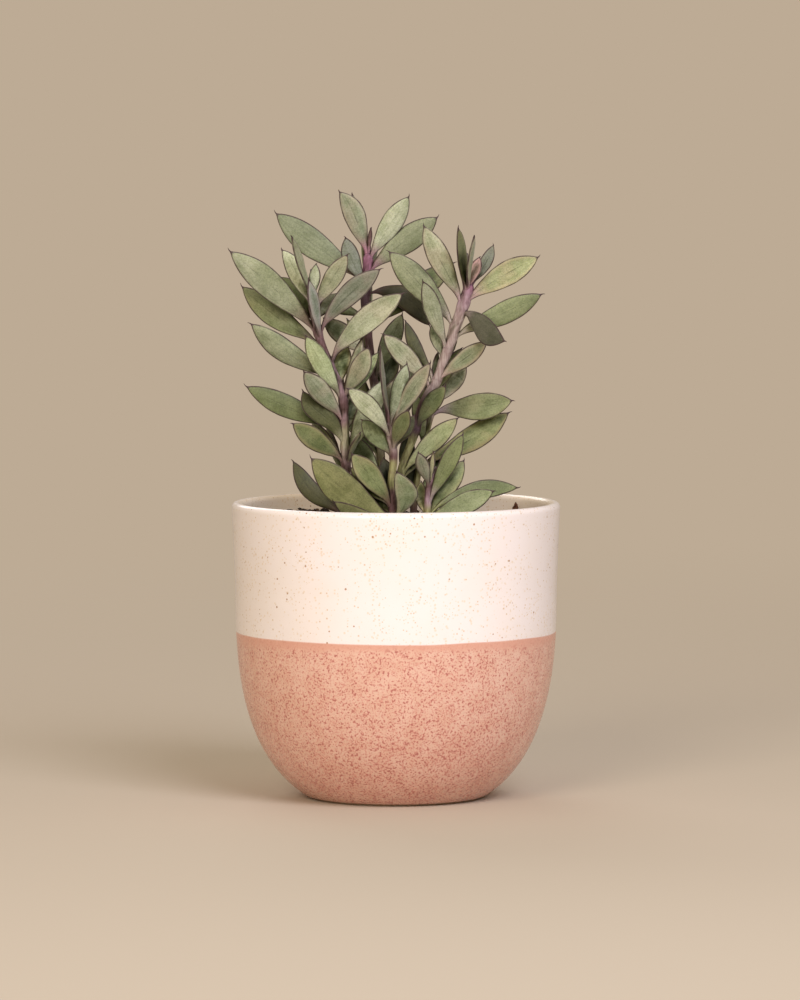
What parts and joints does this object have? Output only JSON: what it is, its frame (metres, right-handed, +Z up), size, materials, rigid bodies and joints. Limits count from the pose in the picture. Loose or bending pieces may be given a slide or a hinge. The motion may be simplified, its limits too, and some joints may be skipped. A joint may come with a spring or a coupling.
{
  "type": "potted senecio",
  "caption": "Round-bottomed two-tone glazed pot filled with soil, holding a clump of upright senecio stems with flat, pointed, edge-up leaves.",
  "frame": {"origin": "middle of the pot's flat foot, on the surface it stands on", "axes": "+Z up, -Y towards the front view, +X to the right"},
  "size_m": [0.1569, 0.1552, 0.2869],
  "materials": {
    "pot_glaze": "satin",
    "soil_earth": "matte",
    "leaf_green": "satin"
  },
  "bodies": {
    "root": {"pot": "pot_glaze", "soil": "soil_earth", "stem_left": "leaf_green", "stem_back": "leaf_green", "stem_right": "leaf_green", "stem_mid": "leaf_green", "stem_front_right": "leaf_green", "stem_back_right": "leaf_green"}
  },
  "joints": []
}
